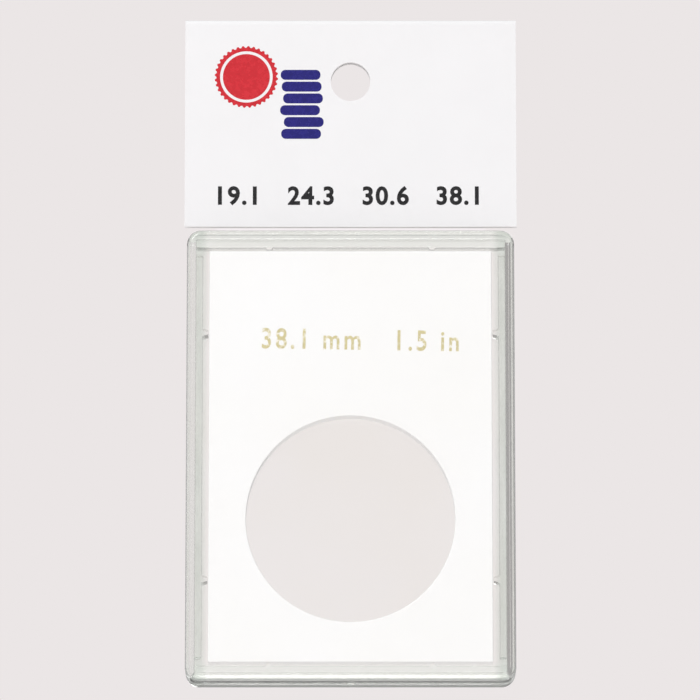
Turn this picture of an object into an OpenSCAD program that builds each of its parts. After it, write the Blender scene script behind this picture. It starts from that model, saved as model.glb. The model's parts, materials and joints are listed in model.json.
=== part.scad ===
// Clear two-piece coin holder with a white insert, hung by a clear strip from a folded card header.
// Every piece is drawn lying on its back: X is width, Y is height, Z rises from the back
// face to the front window. The whole is then stood up with its front facing -Y and its
// origin in the middle of the hang hole.

/* [Case] */
// Width of the closed case
case_w = 60.3; // [56:0.1:80]
// Height of the closed case
case_h = 84.1; // [80:0.1:110]
// Radius of the case's corners, seen from the front
corner_r = 2.6; // [2.2:0.1:3.4]
// Rounding of the case's front edges
front_edge_r = 1.1; // [0.5:0.1:1.5]
// Rounding of the case's back edges
back_edge_r = 0.4; // [0.2:0.1:1.5]
// Thickness of the front window and of the back plate
plate_t = 2.2; // [1.6:0.1:3]

/* [Friction fit] */
// Thickness of the case's outer wall
skirt_t = 1.6; // [1.4:0.05:2]
// Radius of the corners inside the skirt
skirt_corner_r = 0.2; // [0.1:0.05:0.25]
// Depth of the front shell's skirt below its window
skirt_depth = 2.8; // [1.6:0.1:3]
// Width of the bevel inside the skirt's open edge, along its long sides
lead_in = 0.65; // [0.3:0.05:0.9]
// Gap along the parting line of the closed shells
parting_gap = 0.1; // [0.05:0.05:0.3]
// Gap between the skirt and the rails that it slides over
fit_gap = 0.08; // [0.06:0.01:0.2]
// Gap between the skirt and the grip pads on the rails
grip_gap = 0.02; // [0.01:0.01:0.04]
// Length of a grip pad
grip_l = 5; // [2:0.5:10]
// Distance between the two grip pads of a side rail
grip_span = 60; // [40:1:64]

/* [Rails] */
// Thickness of the side rails
side_rail_t = 1.25; // [0.8:0.05:1.4]
// Thickness of the top and bottom rails
end_rail_t = 1.4; // [0.8:0.05:1.6]
// Space between the end of a side rail and the top or bottom rail
rail_break = 1.5; // [1:0.5:6]

/* [Ribs] */
// How far the ribs stand in from the side rails
side_rib_h = 1.1; // [0.4:0.05:1.4]
// How far the ribs stand in from the top and bottom rails
end_rib_h = 0.4; // [0.3:0.05:0.8]
// Width of a rib at its root
rib_w = 1.6; // [1:0.1:3]
// Distance between the two ribs of a side rail
side_rib_span = 46; // [20:1:56]
// Distance between the two ribs of the top or bottom rail
end_rib_span = 30; // [10:1:40]

/* [Insert] */
// Thickness of the insert
insert_t = 3.2; // [2.6:0.1:4]
// Gap between the insert and the ribs of the side rails
insert_gap = 0.12; // [0.05:0.01:0.3]
// Gap between the insert and the ribs of the top and bottom rails
end_gap = 0.22; // [0.05:0.01:0.4]
// Play between the insert and each plate
insert_play = 0.15; // [0.1:0.05:0.4]
// Diameter of the coin that the insert holds
coin_d = 38.1; // [30:0.1:40]
// Gap round the coin
coin_gap = 0.1; // [0.05:0.05:0.3]
// How far the coin's centre lies below the middle of the insert
coin_drop = 11.8; // [0:0.1:14]

/* [Gate] */
// Radius of the moulding gate's stub under the front shell
gate_r = 0.7; // [0.4:0.1:1]
// Height of the gate's stub
gate_h = 0.2; // [0.1:0.05:0.4]

/* [Header card] */
// Width of the header
header_w = 61.6; // [56:0.1:80]
// Height of the header
header_h = 39.5; // [30:0.5:60]
// Space between the header and the top of the case
header_gap = 2.2; // [1:0.1:5]
// Thickness of the card
card_t = 0.4; // [0.2:0.05:0.8]
// Space between the two panels, inside the fold
fold_gap = 1.2; // [0.4:0.1:2]
// Radius of the hang hole
hang_r = 3.67; // [2:0.01:5]
// Distance from the top of the header down to the hang hole's centre
hang_drop = 11.9; // [8:0.1:20]

/* [Hang strip] */
// Thickness of the clear strip that joins the card and the case
strip_t = 0.15; // [0.1:0.05:0.5]
// Width of the strip
strip_w = 50; // [20:1:54]
// Length of the strip's lower end, stuck to the back of the case
strip_hold = 12; // [8:0.5:20]
// Length of the strip's upper end, stuck to the back panel inside the header
strip_reach = 14; // [8:0.5:18]
// Radius of the strip's corners
strip_corner_r = 3; // [0.5:0.5:4]

/* [Hidden] */

// How far a solid runs into its neighbour in a union, or past it in a cut
join = 0.4;
// Facets of a full turn when the circles are drawn on a screen
circle_facets = 96;
// Signs of the four corners, going round from the upper right
CORNERS = [[1, 1], [-1, 1], [-1, -1], [1, -1]];

// Stack from the back face to the front face
pocket_floor = plate_t;
pocket_depth = insert_t + 2 * insert_play;
window_floor = pocket_floor + pocket_depth;
case_t = window_floor + plate_t;
skirt_edge = window_floor - skirt_depth;
rear_wall_top = skirt_edge - parting_gap;
rail_top = window_floor - insert_play;

// Stack from the outside of the case to the insert
skirt_inner_w = case_w - 2 * skirt_t;
skirt_inner_h = case_h - 2 * skirt_t;
rail_outer_w = skirt_inner_w - 2 * fit_gap;
rail_outer_h = skirt_inner_h - 2 * fit_gap;
pocket_w = rail_outer_w - 2 * side_rail_t;
pocket_h = rail_outer_h - 2 * end_rail_t;
insert_w = pocket_w - 2 * (side_rib_h + insert_gap);
insert_h = pocket_h - 2 * (end_rib_h + end_gap);
coin_r = coin_d / 2 + coin_gap;
side_rail_l = pocket_h - 2 * rail_break;
grip_h = fit_gap - grip_gap;

// Header, measured up from the middle of the case
case_top = case_h / 2;
header_bottom = case_top + header_gap;
header_top = header_bottom + header_h;
back_panel_face = -strip_t;
fold_inner_r = fold_gap / 2;
fold_outer_r = fold_inner_r + card_t;
fold_y = header_top - fold_outer_r;
fold_z = back_panel_face + fold_inner_r;
hang_y = header_top - hang_drop;
strip_bottom = case_top - strip_hold;
strip_l = header_bottom + strip_reach - strip_bottom;

// Stands the lying assembly up, with its origin in the middle of the hang hole.
module upright() {
    rotate([90, 0, 0])
        translate([0, -hang_y, -fold_z])
            children();
}

// Quarter of a disc, with its corner on the origin.
module quarter_disc(r) {
    intersection() {
        circle(r, $fn = circle_facets);
        square(r);
    }
}

// Puts a first-quadrant corner piece on each corner of a rectangle, turned outwards.
module on_corners(w, h) {
    for (i = [0:3])
        translate([CORNERS[i][0] * w / 2, CORNERS[i][1] * h / 2, 0])
            rotate(90 * i)
                children();
}

// Outline of a rectangle with round corners, centred on the origin.
module round_outline(w, h, r) {
    square([w - 2 * r, h], center = true);
    square([w, h - 2 * r], center = true);
    on_corners(w - 2 * r, h - 2 * r)
        quarter_disc(r);
}

// Section through a slab's rim: square foot, shoulder rounded over at the top.
module rim_section(reach, t, r) {
    square([reach, t - r]);
    square([reach - r, t]);
    translate([reach - r, t - r])
        quarter_disc(r);
}

// Straight stretch of rim along X, on the +Y side of the origin.
module rim_run(run_l, t, r) {
    rotate([90, 0, 90])
        linear_extrude(run_l, center = true)
            rim_section(corner_r, t, r);
}

// Slab with round corners whose top edge is rounded over: a core, four runs of rim and
// four turned corners that carry the same section round.
module rounded_slab(w, h, t, r) {
    core_w = w - 2 * corner_r;
    core_h = h - 2 * corner_r;
    bar(0, 0, core_w, core_h, 0, t);
    for (turn = [0, 180]) {
        rotate(turn)
            translate([0, core_h / 2, 0])
                rim_run(core_w, t, r);
        rotate(turn + 90)
            translate([0, core_w / 2, 0])
                rim_run(core_h, t, r);
    }
    on_corners(core_w, core_h)
        rotate_extrude(angle = 90, $fn = circle_facets)
            rim_section(corner_r, t, r);
}

// Bar with its lower end on z0, centred on a point.
module bar(x, y, w, h, z0, z1) {
    translate([x - w / 2, y - h / 2, z0])
        cube([w, h, z1 - z0]);
}

// Tapered rib that stands on the pocket's floor and points from a rail along +X.
module locating_rib(h) {
    profile = [
        [-join, -rib_w / 2],
        [0, -rib_w / 2],
        [h, -rib_w / 4],
        [h, rib_w / 4],
        [0, rib_w / 2],
        [-join, rib_w / 2]
    ];
    translate([0, 0, pocket_floor - join])
        linear_extrude(rail_top - pocket_floor + join)
            polygon(profile);
}

// Side rails, which stop short of the corners, with their ribs and grip pads.
module side_rail(side) {
    rail_x = side * (pocket_w + side_rail_t) / 2;
    grip_x = side * (rail_outer_w + grip_h - join) / 2;
    bar(rail_x, 0, side_rail_t, side_rail_l, pocket_floor, rail_top);
    for (end = [-1, 1]) {
        translate([side * pocket_w / 2, end * side_rib_span / 2, 0])
            rotate(side > 0 ? 180 : 0)
                locating_rib(side_rib_h);
        bar(grip_x, end * grip_span / 2, grip_h + join, grip_l, pocket_floor, rail_top);
    }
}

// Top and bottom rails, which run right across between the skirt's corners, with their ribs.
module end_rail(end) {
    bar(0, end * (pocket_h + end_rail_t) / 2, rail_outer_w, end_rail_t, pocket_floor, rail_top);
    for (side = [-1, 1])
        translate([side * end_rib_span / 2, end * pocket_h / 2, 0])
            rotate(-90 * end)
                locating_rib(end_rib_h);
}

// Back half: a shallow tray with its back edge rounded, and the rails that grip the lid.
module rear_shell() {
    color([0.86, 0.88, 0.86, 0.45])
        upright() {
            difference() {
                translate([0, 0, rear_wall_top])
                    mirror([0, 0, 1])
                        rounded_slab(case_w, case_h, rear_wall_top, back_edge_r);
                bar(0, 0, pocket_w, pocket_h, pocket_floor, rear_wall_top + join);
            }
            for (side = [-1, 1]) {
                side_rail(side);
                end_rail(side);
            }
        }
}

// White plate with a true round seat for the coin.
module coin_insert() {
    color([0.96, 0.96, 0.96])
        upright()
            difference() {
                bar(0, 0, insert_w, insert_h, pocket_floor + insert_play, window_floor - insert_play);
                translate([0, -coin_drop, pocket_floor])
                    cylinder(r = coin_r, h = pocket_depth, $fn = circle_facets);
            }
}

// Bevel inside the skirt's open edge along one long side, as the wedge that is cut away.
module lead_in_wedge(side) {
    wedge = [
        [-side * join, -join],
        [side * (lead_in + join), -join],
        [-side * join, lead_in + join]
    ];
    translate([side * skirt_inner_w / 2, 0, skirt_edge])
        rotate([90, 0, 0])
            linear_extrude(skirt_inner_h - 2 * skirt_corner_r, center = true)
                polygon(wedge);
}

// Front half: window with a rounded front edge, and the skirt that slides over the rails.
module front_shell() {
    color([0.86, 0.88, 0.86, 0.45])
        upright() {
            difference() {
                translate([0, 0, skirt_edge])
                    rounded_slab(case_w, case_h, case_t - skirt_edge, front_edge_r);
                translate([0, 0, skirt_edge - join])
                    linear_extrude(skirt_depth + join)
                        round_outline(skirt_inner_w, skirt_inner_h, skirt_corner_r);
                for (side = [-1, 1])
                    lead_in_wedge(side);
            }
            translate([0, -case_top + join, (skirt_edge + window_floor) / 2])
                rotate([90, 0, 0])
                    cylinder(r = gate_r, h = gate_h + join, $fn = circle_facets);
        }
}

// Clear film strip, stuck to the back of the case below and to the card's back panel above.
module hang_strip() {
    color([0.9, 0.92, 0.93, 0.4])
        upright()
            translate([0, strip_bottom + strip_l / 2, back_panel_face])
                linear_extrude(strip_t)
                    round_outline(strip_w, strip_l, strip_corner_r);
}

// Side profile of the card: two panels joined by a round fold at the top.
module card_profile() {
    for (face = [back_panel_face - card_t, back_panel_face + fold_gap])
        translate([header_bottom, face])
            square([fold_y - header_bottom, card_t]);
    translate([fold_y, fold_z])
        difference() {
            intersection() {
                circle(fold_outer_r, $fn = circle_facets);
                translate([0, -fold_outer_r])
                    square([fold_outer_r, 2 * fold_outer_r]);
            }
            circle(fold_inner_r, $fn = circle_facets);
        }
}

// Folded white card with one hang hole through both panels.
module header_card() {
    color([0.95, 0.95, 0.96])
        upright()
            difference() {
                rotate([90, 0, 90])
                    linear_extrude(header_w, center = true)
                        card_profile();
                translate([0, hang_y, fold_z - fold_outer_r - join])
                    cylinder(r = hang_r, h = 2 * (fold_outer_r + join), $fn = circle_facets);
            }
}

rear_shell();
coin_insert();
front_shell();
hang_strip();
header_card();
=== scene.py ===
import json
from math import cos, hypot, pi, radians, sin

import bmesh
import bpy
from mathutils import Matrix, Vector


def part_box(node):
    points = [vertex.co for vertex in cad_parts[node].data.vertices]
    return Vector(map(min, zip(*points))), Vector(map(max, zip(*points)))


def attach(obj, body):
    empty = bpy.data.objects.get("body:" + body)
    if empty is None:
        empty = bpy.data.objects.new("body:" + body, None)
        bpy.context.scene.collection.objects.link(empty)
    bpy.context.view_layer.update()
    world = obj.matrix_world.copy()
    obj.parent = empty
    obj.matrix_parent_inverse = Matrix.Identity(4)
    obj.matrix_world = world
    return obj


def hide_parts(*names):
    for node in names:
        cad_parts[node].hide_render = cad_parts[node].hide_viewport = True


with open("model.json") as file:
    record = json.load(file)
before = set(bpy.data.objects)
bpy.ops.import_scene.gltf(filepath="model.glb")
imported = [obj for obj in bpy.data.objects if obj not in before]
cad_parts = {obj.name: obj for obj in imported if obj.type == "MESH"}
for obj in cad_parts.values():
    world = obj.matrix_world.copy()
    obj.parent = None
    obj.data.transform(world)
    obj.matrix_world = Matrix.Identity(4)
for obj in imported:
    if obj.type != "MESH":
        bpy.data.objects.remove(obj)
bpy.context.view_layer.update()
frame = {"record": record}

# Rear shell: the back half of the case, a shallow tray moulded in clear polystyrene. Four rails
# stand round its pocket for the lid to grip, tapered ribs on them hold the insert, and low pads
# on the side rails make the lid tight.
MM = 0.001
X, Y, Z = 0, 1, 2
ROOT, OVERCUT = 0.25 * MM, 1 * MM  # how far a rib sinks in, and a cutter stands out
SAME_PLACE, SQUARE_ON = 0.004 * MM, 0.9  # near enough for two places, and for a direction
CASE_CORNER, CORNER_STEPS, BACK_EDGE, CASE_HARD_LINE = 2.6 * MM, 10, 0.08 * MM, 32
PLATE_T, TRAY_WALL, SKIRT_T, FIT_GAP = 2.2 * MM, 2.8 * MM, 1.6 * MM, 0.08 * MM
SIDE_RAIL_T, END_RAIL_T, RAIL_BREAK = 1.25 * MM, 1.4 * MM, 1.5 * MM
RAIL_CORNER, RAIL_EDGE = 0.25 * MM, 0.2 * MM
SIDE_RIB_H, SIDE_RIB_SPAN, END_RIB_H, END_RIB_SPAN = 1.1 * MM, 46 * MM, 0.4 * MM, 30 * MM
RIB_W, RIB_TAPER, RIB_EDGE = 1.6 * MM, 0.5, 0.15 * MM
RIB_DROP = RIB_EDGE / 5
PAD_L, PAD_SPAN, PAD_H = 5 * MM, 60 * MM, 0.06 * MM
STYRENE_IOR, STYRENE_DEPTH, DEPTH_TINT = 1.59, 16, (0.6, 0.62, 0.55, 1)
CAST_WARM, CAST_COOL = (0.982, 0.98, 0.96, 1), (0.99, 0.992, 0.986, 1)
# Painted shade: the greys laid in streaks in the matt sides of the case.
MATT_SHADE_DARK, MATT_SHADE_PALE = (0.715, 0.77, 0.72, 1), (0.855, 0.905, 0.865, 1)
MATT_Y, MATT_REACH, MATT_BLEND, MATT_ROUGH = -3.3 * MM, 2.9 * MM, 1.4 * MM, 0.2
SKIRT_MATT, SATIN_ROUGH, SATIN_TINT = 0.4, 0.11, (0.98, 1.0, 0.978, 1)
# Painted shade: a grey in a thin skin on all outer walls, meant to shade the underside.
WALL_SHADE_DEPTH, WALL_SHADE_GREY = 0.05 * MM, (0.72, 0.745, 0.71, 1)
FLOW_STRETCH, FLOW_DEPTH = (1, 1, 0.3), 0.05 * MM
CLEAR, TURNS_INSIDE = (0.99, 0.99, 0.99, 1), 4.5

tray_lo, tray_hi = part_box("rear_shell")
case_mid = (tray_lo.z + tray_hi.z) / 2
case_half_w, case_half_h = tray_hi.x, (tray_hi.z - tray_lo.z) / 2
case_back, rail_top = tray_hi.y, tray_lo.y
pocket_floor, wall_top = case_back - PLATE_T, case_back - TRAY_WALL
rail_half_w, rail_half_h = (half - SKIRT_T - FIT_GAP for half in (case_half_w, case_half_h))
pocket_half_w, pocket_half_h = rail_half_w - SIDE_RAIL_T, rail_half_h - END_RAIL_T
matt_half_w, satin_half_h = pocket_half_w - SIDE_RIB_H, pocket_half_h - END_RIB_H


def take(piece):
    """Makes piece the only one that the next step works on."""
    bpy.ops.object.select_all(action="DESELECT")
    bpy.context.view_layer.objects.active = piece
    piece.select_set(True)


def settle():
    """Puts the place, turn and size of the piece at work into its mesh, and gives it back."""
    bpy.ops.object.transform_apply(location=True, rotation=True, scale=True)
    return bpy.context.object


def block(name, lo, hi):
    """A box between two opposite corners, with its place in its mesh."""
    lo, hi = Vector(lo), Vector(hi)
    bpy.ops.mesh.primitive_cube_add(size=1, location=(lo + hi) / 2, scale=hi - lo)
    box = settle()
    box.name = box.data.name = name
    for corner in box.data.vertices:
        corner.co = [a if abs(a - c) < abs(b - c) else b for a, b, c in zip(lo, hi, corner.co)]
    return box


def pick(piece, kind, wanted):
    """Opens piece in edit mode with only the wanted ones of its edges or faces selected."""
    take(piece)
    bpy.ops.object.mode_set(mode="EDIT")
    bpy.ops.mesh.select_mode(type=kind)
    bpy.ops.mesh.select_all(action="DESELECT")
    shape = bmesh.from_edit_mesh(piece.data)
    shape.normal_update()
    for part in shape.edges if kind == "EDGE" else shape.faces:
        part.select_set(wanted(part))
    bmesh.update_edit_mesh(piece.data)


def done():
    """Closes edit mode."""
    bpy.ops.object.mode_set(mode="OBJECT")


def near(a, b):
    """True if two places are the same within a few thousandths of a millimetre."""
    return abs(a - b) < SAME_PLACE


def lies_at(axis, place):
    """A test for an edge that lies at one place along an axis."""
    return lambda edge: all(near(corner.co[axis], place) for corner in edge.verts)


def runs_along(axis):
    """A test for an edge that runs along an axis."""
    across = [a for a in (X, Y, Z) if a != axis]
    return lambda edge: all(near(edge.verts[0].co[a], edge.verts[1].co[a]) for a in across)


def round_over(piece, radius, wanted, steps):
    """Rounds the wanted edges of piece."""
    pick(piece, "EDGE", wanted)
    bpy.ops.mesh.bevel(offset=radius, segments=steps, affect="EDGES", clamp_overlap=False)
    done()


def fuse(body, tool, operation="UNION"):
    """Joins tool to body, or cuts it out of body, and uses tool up."""
    bpy.context.view_layer.objects.active = body
    seam = body.modifiers.new("seam", "BOOLEAN")
    seam.operation, seam.solver, seam.object = operation, "EXACT", tool
    bpy.ops.object.modifier_apply(modifier=seam.name)
    bpy.data.objects.remove(tool)


def smooth(piece, angle):
    """Shades piece smooth, with a hard line wherever it turns by more than angle degrees, and keeps
    the flat faces between its rounded edges flat."""
    take(piece)
    bpy.ops.object.shade_smooth_by_angle(angle=radians(angle))
    level = piece.modifiers.new("flat faces", "WEIGHTED_NORMAL")
    level.keep_sharp = True
    bpy.ops.object.modifier_apply(modifier=level.name)


def twin(piece, move):
    """A copy of piece with a mesh of its own, moved or turned by a matrix."""
    other = piece.copy()
    other.data = piece.data.copy()
    other.data.transform(move)
    bpy.context.collection.objects.link(other)
    return other


tray = block(
    "rear_shell_tray",
    (-case_half_w, wall_top, tray_lo.z),
    (case_half_w, case_back, tray_hi.z),
)
round_over(tray, CASE_CORNER, runs_along(Y), steps=CORNER_STEPS)
round_over(tray, BACK_EDGE, lies_at(Y, case_back), steps=3)
rails = block(
    "rails",
    (-rail_half_w, rail_top, case_mid - rail_half_h),
    (rail_half_w, wall_top + ROOT, case_mid + rail_half_h),
)
round_over(rails, RAIL_CORNER, runs_along(Y), steps=2)
fuse(tray, rails)
pocket = block(
    "pocket",
    (-pocket_half_w, rail_top - OVERCUT, case_mid - pocket_half_h),
    (pocket_half_w, pocket_floor, case_mid + pocket_half_h),
)
fuse(tray, pocket, "DIFFERENCE")
for side in (-1, 1):
    for end in (-1, 1):
        across = sorted((side * (pocket_half_w - OVERCUT), side * (rail_half_w + OVERCUT)))
        along = sorted(case_mid + end * (pocket_half_h - cut) for cut in (0, RAIL_BREAK))
        rail_gap = block(
            "rail_gap",
            (across[0], rail_top - OVERCUT, along[0]),
            (across[1], wall_top, along[1]),
        )
        fuse(tray, rail_gap, "DIFFERENCE")
round_over(tray, RAIL_EDGE, lies_at(Y, rail_top), steps=3)


def locating_rib(height, root):
    """A rib that stands on the pocket's floor and points along -X from a rail, tapered to half its
    width."""
    tip = pocket_half_w - height
    rib = block(
        "rib",
        (tip, rail_top + RIB_DROP, -RIB_W / 2),
        (pocket_half_w + root, pocket_floor + ROOT, RIB_W / 2),
    )
    pick(rib, "FACE", lambda face: face.normal.x < -SQUARE_ON)
    bpy.ops.transform.resize(value=(1, 1, RIB_TAPER))
    done()
    round_over(rib, RIB_EDGE, lies_at(X, tip), steps=2)
    return rib


side_rib = locating_rib(SIDE_RIB_H, SIDE_RAIL_T / 3)
end_rib = locating_rib(END_RIB_H, END_RAIL_T / 3)
to_end_rail = Matrix.Translation((0, 0, case_mid + pocket_half_h))
end_rib.data.transform(Matrix.Translation((-pocket_half_w, 0, 0)))
end_rib.data.transform(to_end_rail @ Matrix.Rotation(-pi / 2, 4, "Y"))
pad = block(
    "grip_pad",
    (rail_half_w - SIDE_RAIL_T / 3, rail_top + 2 * RAIL_EDGE, -PAD_L / 2),
    (rail_half_w + PAD_H, wall_top + ROOT, PAD_L / 2),
)
fittings = []
for end in (-1, 1):
    for pattern, place in (
        (side_rib, (0, 0, case_mid + end * SIDE_RIB_SPAN / 2)),
        (end_rib, (end * END_RIB_SPAN / 2, 0, 0)),
        (pad, (0, 0, case_mid + end * PAD_SPAN / 2)),
    ):
        fittings.append(twin(pattern, Matrix.Translation(place)))
for pattern in (side_rib, end_rib, pad):
    bpy.data.objects.remove(pattern)

to_middle = Matrix.Translation((0, 0, case_mid))
half_turn = to_middle @ Matrix.Rotation(pi, 4, "Y") @ to_middle.inverted()
for fitting in fittings:
    fuse(tray, twin(fitting, half_turn))
    fuse(tray, fitting)
smooth(tray, CASE_HARD_LINE)


def adder(tree):
    """A tool that adds a node of one kind to tree, with its settings and what goes into it."""

    def add(kind, sockets, **settings):
        node = tree.nodes.new("ShaderNode" + kind)
        for name, value in settings.items():
            setattr(node, name, value)
        feed(node, sockets)
        return node

    return add


def feed(node, sockets):
    """Sets a node's sockets, or links what another node gives into them."""
    for name, value in sockets.items():
        if isinstance(value, bpy.types.NodeSocket):
            node.id_data.links.new(value, node.inputs[name])
        else:
            node.inputs[name].default_value = value


def new_finish(name):
    """A new material, its main shader, the tool that adds nodes to it, and a point's place."""
    finish = bpy.data.materials.new(name)
    finish.use_nodes = True
    add = adder(finish.node_tree)
    place = add("TexCoord", {}).outputs["Object"]
    return finish, finish.node_tree.nodes["Principled BSDF"], add, place


def show(finish, **shaders):
    """Gives a material what it shows."""
    feed(finish.node_tree.nodes["Material Output"], shaders)


def noise(add, place, scale, detail, roughness=0.5):
    """A cloudy pattern of numbers from 0 to 1."""
    sockets = {"Vector": place, "Scale": scale, "Detail": detail, "Roughness": roughness}
    return add("TexNoise", sockets).outputs["Fac"]


def bump(add, height, strength, depth):
    """A face made uneven by a height."""
    sockets = {"Height": height, "Strength": strength, "Distance": depth}
    return add("Bump", sockets).outputs["Normal"]


def span(add, value, low, high, start=0, end=1, **settings):
    """A number that goes from low to high as a value goes from start to end."""
    sockets = {"Value": value, "From Min": start, "From Max": end, "To Min": low, "To Max": high}
    return add("MapRange", sockets, **settings).outputs["Result"]


def ramp(add, value, low, high, start=0, end=1):
    """A colour that goes from low to high as a value goes from start to end."""
    node = add("ValToRGB", {"Fac": value})
    first, last = node.color_ramp.elements
    first.position, first.color = start, low
    last.position, last.color = end, high
    return node.outputs["Color"]


def mix(add, share, one, other, **settings):
    """One colour, with a share of another in it."""
    sockets = {"Fac": share, "Color1": one, "Color2": other}
    return add("MixRGB", sockets, **settings).outputs["Color"]


def times(add, a, b):
    """Two numbers multiplied."""
    return add("Math", {0: a, 1: b}, operation="MULTIPLY").outputs[0]


def let_light_through(finish, shader, add, lit_through):
    """Gives a clear material its shader. Light that dull things see, or that was turned too often
    inside, passes straight through, and so do the lamps' rays where the piece lies before
    something dull."""
    path = add("LightPath", {}).outputs
    clear = add("BsdfTransparent", {"Color": CLEAR}).outputs[0]
    turns = {0: path["Ray Depth"], 1: TURNS_INSIDE}
    passing = [add("Math", turns, operation="GREATER_THAN").outputs[0], path["Is Diffuse Ray"]]
    if lit_through:
        passing.append(path["Is Shadow Ray"])
    whole = shader.outputs[0]
    for share in passing:
        whole = add("MixShader", {"Fac": share, 1: whole, 2: clear}).outputs[0]
    show(finish, Surface=whole)


def clear_styrene(name, shift, lit_through):
    """Clear polystyrene: polished on the window and the back, with slow flow waves and faint
    handling marks, and left matt by the mould's steel along the sides and on the outer walls. The
    grey laid in streaks in the matt sides and the grey skin on the outer walls are painted shade."""
    finish, plastic, add, place = new_finish(name)
    flow = {"Vector": place, "Location": shift, "Scale": FLOW_STRETCH}
    drawn = add("Mapping", flow).outputs[0]
    zone = {0: add("SeparateXYZ", {0: place}).outputs["Y"], 1: MATT_Y, 2: MATT_REACH}
    walls = add("Math", zone, operation="COMPARE").outputs[0]
    flat = {0: place, 1: (1, 0, 1), 2: (0, 0, -case_mid)}
    from_middle = add("VectorMath", flat, operation="MULTIPLY_ADD").outputs[0]
    quarter = add("VectorMath", {0: from_middle}, operation="ABSOLUTE").outputs[0]

    def outside(half_w, half_h, start, full):
        """How far outside a rectangle round the case's middle a place is: 0 up to start, 1 from
        full on."""
        edge = {0: quarter, 1: (half_w, 0, half_h)}
        past = add("VectorMath", edge, operation="SUBTRACT").outputs[0]
        past = add("VectorMath", {0: past, 1: (0, 0, 0)}, operation="MAXIMUM").outputs[0]
        far = add("VectorMath", {0: past}, operation="LENGTH").outputs["Value"]
        return span(add, far, 0, 1, start, full)

    matt_and_shade = times(add, outside(matt_half_w, case_half_h, 0, MATT_BLEND), walls)
    skirt = outside(case_half_w - SKIRT_T, case_half_h, 0, SKIRT_T / 4)
    matt_and_shade = times(add, matt_and_shade, span(add, skirt, 1, SKIRT_MATT))
    # Painted shade: a thin skin on the outer walls is tinted grey, so that the underside looks
    # shaded.
    corner_at = (case_half_w - CASE_CORNER, case_half_h - CASE_CORNER)
    wall_shade = outside(*corner_at, CASE_CORNER - WALL_SHADE_DEPTH, CASE_CORNER - WALL_SHADE_DEPTH / 2)
    wall_shade = times(add, wall_shade, walls)
    satin = outside(case_half_w, satin_half_h, 0, END_RIB_H)

    cast = noise(add, place, scale=35, detail=2)
    streaks = noise(add, drawn, scale=420, detail=3, roughness=0.6)
    body = ramp(add, cast, CAST_WARM, CAST_COOL, start=0.35, end=0.7)
    body = mix(add, satin, body, SATIN_TINT)
    # Painted shade: the matt sides are tinted grey in streaks, darker than the clear styrene.
    body = mix(add, matt_and_shade, body, ramp(add, streaks, MATT_SHADE_DARK, MATT_SHADE_PALE, start=0.3, end=0.7))
    body = mix(add, wall_shade, body, WALL_SHADE_GREY)
    marks = noise(add, drawn, scale=900, detail=4, roughness=0.6)
    rough = span(add, marks, low=0.012, high=0.09, start=0.45, end=0.8)
    rough = span(add, satin, rough, SATIN_ROUGH)
    rough = span(add, matt_and_shade, rough, MATT_ROUGH)
    wave = bump(add, noise(add, drawn, scale=120, detail=2), strength=0.05, depth=FLOW_DEPTH)
    feed(plastic, {"Base Color": body, "Roughness": rough, "Normal": wave})
    feed(plastic, {"Transmission Weight": 1.0, "IOR": STYRENE_IOR})
    let_light_through(finish, plastic, add, lit_through)
    depth = add("VolumeAbsorption", {"Color": DEPTH_TINT, "Density": STYRENE_DEPTH})
    show(finish, Volume=depth.outputs[0])
    return finish


tray_finish = clear_styrene("rear_clear_styrene", shift=(0.11, 0.05, 0.02), lit_through=False)
tray.data.materials.append(tray_finish)
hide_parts("rear_shell")
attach(tray, "back_half")

# Insert: a plate stamped from satin white plastic sheet, with one round seat for the coin. It
# lies between the ribs of the rear shell and is held there by the lid.
INSERT_EDGE, SEAT_EDGE, RIM_MISS, INSERT_HARD_LINE = 0.25 * MM, 0.2 * MM, 0.02 * MM, 40
INSERT_DIM, INSERT_WHITE = (0.93, 0.938, 0.95, 1), (0.96, 0.968, 0.98, 1)
CUTTER_L, UPRIGHT, GLOSS_IOR = 10 * MM, (pi / 2, 0, 0), 1.5


def mount(name):
    """A mount of the part, by its name."""
    return next(m for m in frame["record"]["mounts"] if m["name"] == name)


def rod(radius, length, flats, **where):
    """A round bar, with so many flats round it."""
    bpy.ops.mesh.primitive_cylinder_add(vertices=flats, radius=radius, depth=length, **where)
    return settle()


seat_r = mount("coin_seat")["dims"]["r_mm"] * MM
seat_at = Vector(mount("coin_seat")["pos_m"])
plate_lo, plate_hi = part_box("coin_insert")


def on_seat_rim(edge):
    """True for an edge that runs round the seat's front or back rim."""
    around = [hypot(corner.co.x - seat_at.x, corner.co.z - seat_at.z) for corner in edge.verts]
    flat = near(edge.verts[0].co.y, edge.verts[1].co.y)
    return flat and all(abs(r - seat_r) < RIM_MISS for r in around)


plate = block("insert_plate", plate_lo, plate_hi)
round_over(plate, INSERT_EDGE, lambda edge: True, steps=2)
seat = rod(seat_r, CUTTER_L, flats=160, location=seat_at, rotation=UPRIGHT)
fuse(plate, seat, "DIFFERENCE")
round_over(plate, SEAT_EDGE, on_seat_rim, steps=2)
smooth(plate, INSERT_HARD_LINE)

finish, plastic, add, place = new_finish("insert_white_sheet")
speckle = noise(add, place, scale=1600, detail=3)
feed(
    plastic,
    {
        "Base Color": ramp(add, speckle, INSERT_DIM, INSERT_WHITE),
        "Roughness": span(add, speckle, low=0.32, high=0.5),
        "Normal": bump(add, speckle, strength=0.15, depth=0.02 * MM),
        "IOR": GLOSS_IOR,
    },
)
plate.data.materials.append(finish)
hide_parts("coin_insert")
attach(plate, "insert")

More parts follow.
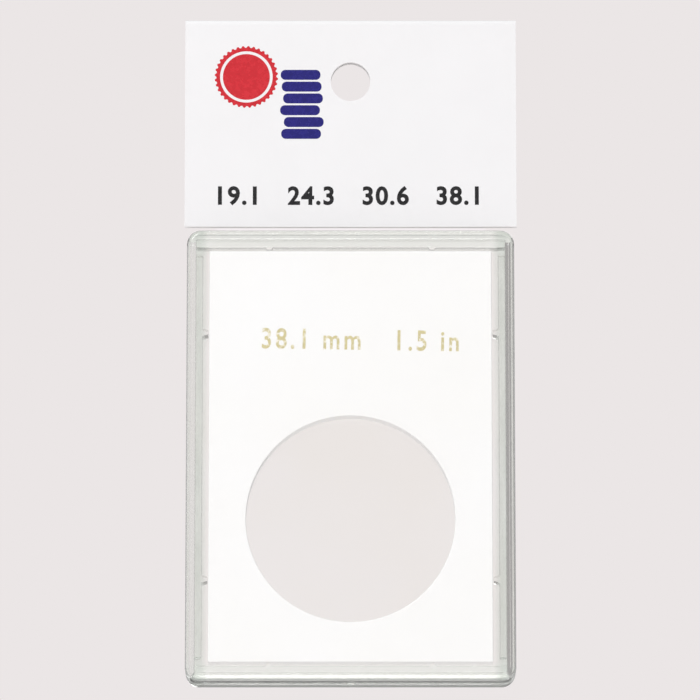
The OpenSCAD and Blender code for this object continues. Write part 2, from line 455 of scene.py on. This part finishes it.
# Foil line: the size of the coin, hot-stamped on the insert in thin gold foil with a worn, broken
# edge. It sits a little off the middle and leans by a degree, as a hand-fed stamp leaves it.
FOIL_SIZE, FOIL_T = Vector((36.2, 3.9)) * MM, 0.03 * MM
FOIL_SHIFT, FOIL_RISE, FOIL_LEAN = 1.8 * MM, 21.6 * MM, radians(0.9)
FOIL_GOLD, FOIL_LOST = (0.65, 0.585, 0.31, 1), (0.93, 0.91, 0.84, 1)
WEAR = {"start": 0.52, "end": 0.64}


def stamp(name, words, size, weight, spacing):
    """A line of lettering as a thin flat mesh of a given width and height, facing -Y at the
    origin."""
    bpy.ops.object.text_add()
    line = bpy.context.object
    line.name, text = name, line.data
    text.body, text.offset, text.space_character = words, weight, spacing
    text.extrude, text.resolution_u = 0.5, 4
    bpy.ops.object.convert(target="MESH")
    line = bpy.context.object
    line.data.name = name
    xs, ys = ([corner.co[axis] for corner in line.data.vertices] for axis in (X, Y))
    middle = Vector(((min(xs) + max(xs)) / 2, (min(ys) + max(ys)) / 2, 0))
    line.data.transform(Matrix.Translation(-middle))
    line.scale = (size.x / (max(xs) - min(xs)), size.y / (max(ys) - min(ys)), 1)
    line.rotation_euler = UPRIGHT
    settle()
    pick(line, "EDGE", lambda edge: True)
    bpy.ops.mesh.remove_doubles(threshold=0.00005 * MM)
    bpy.ops.mesh.normals_make_consistent(inside=False)
    done()
    return line


def press_on(piece, thickness, place, lean=0):
    """Flattens a stamped piece to its thickness and lays its back on a place."""
    piece.scale = (1, thickness, 1)
    piece.rotation_euler = (0, lean, 0)
    piece.location = Vector(place) + Vector((0, -thickness / 2, 0))
    take(piece)
    settle()


foil = stamp("insert_foil_line", "38.1 mm   1.5 in", FOIL_SIZE, weight=0.014, spacing=1.25)
press_on(foil, FOIL_T, (FOIL_SHIFT, plate_lo.y, case_mid + FOIL_RISE), FOIL_LEAN)

finish, metal, add, place = new_finish("insert_gold_foil")
flakes = noise(add, place, scale=1500, detail=4, roughness=0.7)
feed(
    metal,
    {
        "Base Color": ramp(add, flakes, FOIL_GOLD, FOIL_LOST, **WEAR),
        "Metallic": span(add, flakes, low=0.85, high=0.1, **WEAR),
        "Roughness": 0.38,
        "Normal": bump(add, flakes, strength=0.4, depth=0.03 * MM),
    },
)
foil.data.materials.append(finish)
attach(foil, "insert")

# Front shell: the lid, moulded in the same clear polystyrene. A thick window with rounded front
# edges and a skirt that slides over the rails, with the stub of the moulding gate under it.
FRONT_EDGE, SKIRT_DEPTH, SKIRT_CORNER = 1.1 * MM, 2.8 * MM, 0.2 * MM
LEAD_IN, INNER_FILLET = 0.55 * MM, 0.15 * MM
GATE_R, GATE_L, GATE_EDGE = 0.7 * MM, 1 * MM, 0.06 * MM
lid_lo, lid_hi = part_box("front_shell")
window, skirt_end = lid_lo.y, lid_hi.y
hollow_half_w, hollow_half_h = case_half_w - SKIRT_T, case_half_h - SKIRT_T
hollow_end = skirt_end - SKIRT_DEPTH

lid = block(
    "front_shell_lid",
    (-case_half_w, window, tray_lo.z),
    (case_half_w, skirt_end, tray_hi.z),
)
round_over(lid, CASE_CORNER, runs_along(Y), steps=CORNER_STEPS)
round_over(lid, FRONT_EDGE, lies_at(Y, window), steps=6)
hollow = block(
    "hollow",
    (-hollow_half_w, hollow_end, case_mid - hollow_half_h),
    (hollow_half_w, skirt_end + OVERCUT, case_mid + hollow_half_h),
)
round_over(hollow, SKIRT_CORNER, runs_along(Y), steps=3)
round_over(hollow, INNER_FILLET, lies_at(Y, hollow_end), steps=3)
fuse(lid, hollow, "DIFFERENCE")
bevel_half = LEAD_IN / 2 ** 0.5
for side in (-1, 1):
    bevel_tool = block(
        "bevel_tool",
        (-bevel_half, -bevel_half, SKIRT_CORNER - hollow_half_h),
        (bevel_half, bevel_half, hollow_half_h - SKIRT_CORNER),
    )
    mouth = Matrix.Translation((side * hollow_half_w, skirt_end, case_mid))
    bevel_tool.data.transform(mouth @ Matrix.Rotation(pi / 4, 4, "Z"))
    fuse(lid, bevel_tool, "DIFFERENCE")
gate_at = (0, skirt_end - SKIRT_DEPTH / 2, lid_lo.z + GATE_L / 2)
gate = rod(GATE_R, GATE_L, flats=40, location=gate_at)
round_over(gate, GATE_EDGE, lies_at(Z, lid_lo.z), steps=2)
fuse(lid, gate)
smooth(lid, CASE_HARD_LINE)
lid_finish = clear_styrene("front_clear_styrene", shift=(0.02, 0.13, 0.07), lit_through=True)
lid.data.materials.append(lid_finish)
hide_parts("front_shell")
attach(lid, "lid")

# Hang strip: a length of clear polyester film with die-cut round corners. A band of clear adhesive
# at each end sticks it to the back of the case below and to the card's back panel above.
STRIP_CORNER, STRIP_LAP, GLUE_EDGE, STRIP_HARD_LINE = 3 * MM, 0.02 * MM, 0.8 * MM, 32
FILM_TINT, FILM_CLEAR = (0.975, 0.98, 0.98, 1), (0.98, 0.985, 0.985, 1)
FILM_IOR, FILM_HAZE, GLUE_HAZE, GLUE_TINT = 1.2, 0.05, 0.22, (0.98, 0.98, 0.965, 1)
strip_lo, strip_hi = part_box("hang_strip")
header_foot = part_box("header_card")[0].z
lap = Vector((0, STRIP_LAP, 0))
glue_ends = (tray_hi.z - GLUE_EDGE, header_foot + GLUE_EDGE)

strip = block("hang_strip_film", strip_lo + lap, strip_hi - lap)
round_over(strip, STRIP_CORNER, runs_along(Y), steps=8)
for glue_end in glue_ends:
    pick(strip, "FACE", lambda face: True)
    bpy.ops.mesh.bisect(plane_co=(0, 0, glue_end), plane_no=(0, 0, 1))
    done()
smooth(strip, STRIP_HARD_LINE)


def clear_film(name, haze, tint):
    """Clear polyester film, slightly wavy, with more or less haze in it."""
    finish, film, add, place = new_finish(name)
    blotch = noise(add, place, scale=420, detail=3)
    feed(
        film,
        {
            "Base Color": ramp(add, blotch, tint, FILM_CLEAR),
            "Roughness": span(add, blotch, low=haze / 2, high=haze),
            "Normal": bump(add, blotch, strength=0.15, depth=0.03 * MM),
            "Transmission Weight": 1.0,
            "IOR": FILM_IOR,
        },
    )
    let_light_through(finish, film, add, lit_through=True)
    return finish


strip.data.materials.append(clear_film("strip_polyester", FILM_HAZE, FILM_TINT))
strip.data.materials.append(clear_film("strip_adhesive", GLUE_HAZE, GLUE_TINT))
for face in strip.data.polygons:
    face.material_index = int(not glue_ends[0] < face.center.z < glue_ends[1])
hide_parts("hang_strip")
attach(strip, "back_half")

# Header card: one sheet of glossy coated card, folded over at the top with a hang hole punched
# through both panels. The back panel is stuck to the hang strip, and the front panel is pressed
# shut against it, with its lower corners springing open a little.
CARD_T, SHUT, CORNER_SPRING, CARD_HARD_LINE = 0.4 * MM, 0.92 * MM, 0.3 * MM, 30
FOLD_STEPS, CUTS_ACROSS, CUTS_DOWN, LONG_EDGE = 14, 25, 21, 5 * MM
EDGE_ON, HOLE_REACH = 0.2, 1.02
COAT_DIM, COAT_WHITE = (0.80, 0.803, 0.812, 1), (0.835, 0.838, 0.847, 1)
PULP_DIM, PULP_PALE = (0.80, 0.79, 0.77, 1), (0.93, 0.92, 0.90, 1)
hang_r = mount("hang_hole")["dims"]["r_mm"] * MM
card_lo, card_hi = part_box("header_card")
fold_r = (card_hi.y - card_lo.y - CARD_T) / 2
fold_at = Vector((0, (card_hi.y + card_lo.y) / 2, card_hi.z - fold_r - CARD_T / 2))
panel_foot = card_lo.z
panel_h = fold_at.z - panel_foot


def leans_back(x, z):
    """How far the front panel leans back towards the strip at a point."""
    down = max(fold_at.z - z, 0) / panel_h
    return SHUT * down - CORNER_SPRING * (down * x / card_hi.x) ** 2


panel_middle = (0, fold_at.y - fold_r, (fold_at.z + panel_foot) / 2)
bpy.ops.mesh.primitive_plane_add(size=1, location=panel_middle, rotation=UPRIGHT)
card = bpy.context.object
card.name = card.data.name = "header_card_sheet"
card.scale = (2 * card_hi.x, panel_h, 1)
settle()
pick(card, "EDGE", lies_at(Z, fold_at.z))
bpy.ops.mesh.spin(steps=FOLD_STEPS, angle=pi, center=fold_at, axis=(1, 0, 0))
bpy.ops.mesh.extrude_region_move(TRANSFORM_OT_translate={"value": (0, 0, -panel_h)})
done()
pick(card, "EDGE", runs_along(X))
bpy.ops.mesh.subdivide(number_cuts=CUTS_ACROSS)
done()
pick(card, "EDGE", lambda edge: runs_along(Z)(edge) and edge.calc_length() > LONG_EDGE)
bpy.ops.mesh.subdivide(number_cuts=CUTS_DOWN)
bpy.ops.mesh.select_all(action="SELECT")
bpy.ops.mesh.remove_doubles(threshold=0.0005 * MM)
bpy.ops.mesh.normals_make_consistent(inside=False)
done()
for corner in card.data.vertices:
    if corner.co.y < fold_at.y and corner.co.z < fold_at.z:
        corner.co.y += leans_back(corner.co.x, corner.co.z)
sheet = card.modifiers.new("card thickness", "SOLIDIFY")
sheet.thickness, sheet.offset = CARD_T, 0
bpy.ops.object.modifier_apply(modifier=sheet.name)
fuse(card, rod(hang_r, CUTTER_L, flats=96, rotation=UPRIGHT), "DIFFERENCE")
smooth(card, CARD_HARD_LINE)

finish, coat, add, place = new_finish("card_gloss_white")
cloud = noise(add, place, scale=90, detail=3)
fibre = noise(add, place, scale=2200, detail=3)
feed(
    coat,
    {
        "Base Color": ramp(add, cloud, COAT_DIM, COAT_WHITE),
        "Roughness": span(add, fibre, low=0.16, high=0.28),
        "Normal": bump(add, fibre, strength=0.12, depth=0.02 * MM),
        "IOR": GLOSS_IOR,
    },
)
card.data.materials.append(finish)

finish, pulp, add, place = new_finish("card_cut_edge")
strands = noise(add, place, scale=2600, detail=4, roughness=0.7)
feed(
    pulp,
    {
        "Base Color": ramp(add, strands, PULP_DIM, PULP_PALE),
        "Roughness": 0.85,
        "Normal": bump(add, strands, strength=0.5, depth=0.05 * MM),
    },
)
card.data.materials.append(finish)
for face in card.data.polygons:
    side = abs(face.normal.x) > SQUARE_ON
    foot = face.normal.z < -SQUARE_ON and face.center.z < fold_at.z - fold_r
    in_hole = hypot(face.center.x, face.center.z) < HOLE_REACH * hang_r
    face.material_index = int(side or foot or (in_hole and abs(face.normal.y) < EDGE_ON))
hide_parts("header_card")
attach(card, "back_half")

# Header print: three inks on the front panel. A red reeded coin beside a stack of blue ones, and
# a row of coin diameters in black below them.
INK_T = 0.015 * MM
ROW_SIZE, ROW_AT = Vector((48.4, 3.7)) * MM, (-0.4 * MM, -21.7 * MM)
COIN_R, COIN_AT, COIN_FLATS = 5.9 * MM, (-19.4 * MM, 0.9 * MM), 144
REED, REED_EVERY, RING_R = 0.32 * MM, 4, 0.83 * COIN_R
FACE_R, FACE_FLATS, FACE_RINGS, FACE_STEP = 0.74 * COIN_R, 96, 4, 0.14 * COIN_R
STACK_W, STACK_H, STACK_GAP, STACK_AT = 7.4 * MM, 1.9 * MM, 0.35 * MM, (-9.2 * MM, -10.9 * MM)
STACK_LEAN = [0.0, 0.5 * MM, -0.2 * MM, 0.35 * MM, 0.1 * MM, -0.1 * MM]
STACK_ROUND = 0.46 * STACK_H
BLACK, BLACK_DEEP = (0.02, 0.02, 0.022, 1), (0.008, 0.008, 0.009, 1)
RED, RED_DEEP = (0.66, 0.016, 0.03, 1), (0.54, 0.01, 0.02, 1)
BLUE, BLUE_DEEP = (0.012, 0.008, 0.21, 1), (0.007, 0.005, 0.15, 1)


def ink(name, colour, deep):
    """Printing ink: a gloss film, a little uneven in strength, on the coated card."""
    finish, film, add, place = new_finish(name)
    mottle = noise(add, place, scale=1100, detail=3)
    strength = ramp(add, mottle, deep, colour, start=0.3, end=0.75)
    feed(film, {"Base Color": strength, "Roughness": span(add, mottle, low=0.2, high=0.34)})
    return finish


def lay_on_panel(piece):
    """Lets a printed piece follow the lean of the front panel."""
    for corner in piece.data.vertices:
        corner.co.y += leans_back(corner.co.x, corner.co.z)


row = stamp("print_black_row", "19.1   24.3   30.6   38.1", ROW_SIZE, weight=0.03, spacing=1.12)
press_on(row, INK_T, (ROW_AT[0], card_lo.y, ROW_AT[1]))
row.data.materials.append(ink("ink_black", BLACK, BLACK_DEEP))

coin_middle = Vector((COIN_AT[0], card_lo.y, COIN_AT[1]))


def circle(radius, flats, fill):
    """A circle round the printed coin's middle, empty or filled."""
    bpy.ops.mesh.primitive_circle_add(
        vertices=flats, radius=radius, fill_type=fill, location=coin_middle, rotation=UPRIGHT
    )


circle(COIN_R, COIN_FLATS, "NOTHING")
coin = settle()
coin.name = coin.data.name = "print_red_coin"
for corner in coin.data.vertices:
    if corner.index % REED_EVERY < REED_EVERY / 2:
        corner.co += (coin_middle - corner.co).normalized() * REED
pick(coin, "EDGE", lambda edge: True)
circle(RING_R, COIN_FLATS, "NOTHING")
bpy.ops.mesh.select_all(action="SELECT")
bpy.ops.mesh.bridge_edge_loops()
bpy.ops.mesh.select_all(action="DESELECT")
circle(FACE_R, FACE_FLATS, "NGON")
for ring in range(FACE_RINGS):
    bpy.ops.mesh.inset(thickness=FACE_STEP)
bpy.ops.mesh.select_all(action="SELECT")
bpy.ops.mesh.normals_make_consistent(inside=False)
done()
film = coin.modifiers.new("ink film", "SOLIDIFY")
film.thickness, film.offset = INK_T, 1
bpy.ops.object.modifier_apply(modifier=film.name)
coin.data.materials.append(ink("ink_red", RED, RED_DEEP))

bar_lo = Vector((STACK_AT[0] - STACK_W / 2, card_lo.y - INK_T, STACK_AT[1]))
stack = block("print_blue_stack", bar_lo, bar_lo + Vector((STACK_W, INK_T, STACK_H)))
round_over(stack, STACK_ROUND, runs_along(Y), steps=6)
coins = [
    twin(stack, Matrix.Translation((lean, 0, level * (STACK_H + STACK_GAP))))
    for level, lean in enumerate(STACK_LEAN)
    if level
]
take(stack)
for piece in coins:
    piece.select_set(True)
bpy.ops.object.join()
stack.data.materials.append(ink("ink_blue", BLUE, BLUE_DEEP))

for piece in (row, coin, stack):
    lay_on_panel(piece)
    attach(piece, "back_half")

# Stage: a pale floor far below the hanging pack, and a tent of pale light round it, brighter high
# at the back and with a grey card at the right. A broad lamp shines from above, a small one from
# low in front, and the camera looks up from a little below the pack, as the photographer stood.
BACKDROP = (0.831, 0.791, 0.791, 1)
TENT, TENT_SEEN = (0.97, 0.97, 0.97, 1), (0.91, 0.865, 0.878, 1)
GREY_CARD, HIGH_BACK, TENT_MIRRORED = 0.48, 1.4, 0.5
# The floor's colour where the pack mirrors it is a dark grey: painted shade for the pack's
# underside.
FLOOR_R, FLOOR_DROP, FLOOR_MIRRORED_SHADE = 30, 0.42, (0.1, 0.1, 0.1, 1)
FLOOR_DIM, FLOOR_PALE = (0.82, 0.78, 0.78, 1), (0.84, 0.80, 0.80, 1)
LAMPS = (
    {"place": (-0.55, -1.1, 0.9), "width": 0.7, "power": 6.4},
    {"place": (0.0, -0.8, -0.34), "width": 0.24, "power": 0.6},
)
TARGET = Vector((-0.1 * MM, -3.5 * MM, card_hi.z - 63.57 * MM))
CAMERA_BELOW, CAMERA_AWAY, VIEW_W, SENSOR_W = radians(12), 1.2, 128.91 * MM, 36


def mirrored(add, path):
    """1 for light that a face mirrors, and 0 for light that came through a clear piece."""
    ways = {0: path["Is Glossy Ray"], 1: path["Is Transmission Ray"]}
    return add("Math", ways, operation="SUBTRACT").outputs[0]


def soft_span(add, value, low, high, start, end):
    """A number that goes softly from low to high as a value goes from start to end."""
    return span(add, value, low, high, start, end, interpolation_type="SMOOTHSTEP")


bpy.ops.mesh.primitive_circle_add(
    vertices=64, radius=FLOOR_R, fill_type="NGON", location=(0, 0, -FLOOR_DROP)
)
floor = settle()
floor.name = "floor"
finish, ground, add, place = new_finish("floor_pale")
path = add("LightPath", {}).outputs
reach = add("VectorMath", {0: place}, operation="LENGTH").outputs["Value"]
ways = {0: path["Is Camera Ray"], 1: path["Is Transmission Ray"]}
seen = add("Math", ways, operation="MAXIMUM").outputs[0]
fade = times(add, soft_span(add, reach, 0, 1, start=0.9, end=2.2), seen)
paint = ramp(add, noise(add, place, scale=300, detail=2), FLOOR_DIM, FLOOR_PALE)
# Painted shade: the floor is dark grey in what the pack mirrors, so the pack's underside looks
# shaded.
floor_or_mirrored_shade = mix(add, mirrored(add, path), paint, FLOOR_MIRRORED_SHADE, use_clamp=True)
feed(ground, {"Base Color": floor_or_mirrored_shade, "Roughness": 0.8, "Specular IOR Level": 0.1})
glow = add("Emission", {"Color": BACKDROP, "Strength": 1})
blend = add("MixShader", {"Fac": fade, 1: ground.outputs[0], 2: glow.outputs[0]})
show(finish, Surface=blend.outputs[0])
floor.data.materials.append(finish)

world = bpy.data.worlds.new("light_tent")
bpy.context.scene.world = world
world.use_nodes = True
nodes, add = world.node_tree.nodes, adder(world.node_tree)
path = add("LightPath", {}).outputs
look = add("SeparateXYZ", {0: add("TexCoord", {}).outputs["Generated"]}).outputs
right = soft_span(add, look["X"], 1, GREY_CARD, start=0.35, end=0.8)
behind = soft_span(add, look["Y"], 1, HIGH_BACK, start=0, end=0.3)
above = soft_span(add, look["Z"], 1, behind, start=0.64, end=0.82)
strength = times(add, right, above)
strength = times(add, strength, span(add, mirrored(add, path), 1, TENT_MIRRORED))
cloth = mix(add, path["Is Transmission Ray"], TENT, TENT_SEEN)
tent = add("Background", {"Color": cloth, "Strength": strength}).outputs[0]
feed(nodes["Background"], {"Color": BACKDROP, "Strength": 1.0})
backdrop = nodes["Background"].outputs[0]
around = add("MixShader", {"Fac": path["Is Camera Ray"], 1: tent, 2: backdrop})
feed(nodes["World Output"], {"Surface": around.outputs[0]})

for lamp in LAMPS:
    bpy.ops.object.light_add(type="AREA", location=lamp["place"])
    light = bpy.context.object
    light.data.shape, light.data.size, light.data.energy = "DISK", lamp["width"], lamp["power"]
    light.rotation_euler = (TARGET - light.location).to_track_quat("-Z", "Y").to_euler()

away = Vector((0, -cos(CAMERA_BELOW), -sin(CAMERA_BELOW)))
bpy.ops.object.camera_add(location=TARGET + CAMERA_AWAY * away)
camera = bpy.context.object
camera.rotation_euler = (-away).to_track_quat("-Z", "Y").to_euler()
camera.data.sensor_width = SENSOR_W
camera.data.lens = SENSOR_W * CAMERA_AWAY / VIEW_W
camera.data.clip_start, camera.data.clip_end = 0.05, 60
bpy.context.scene.camera = camera
bpy.context.scene.view_settings.view_transform = "Standard"
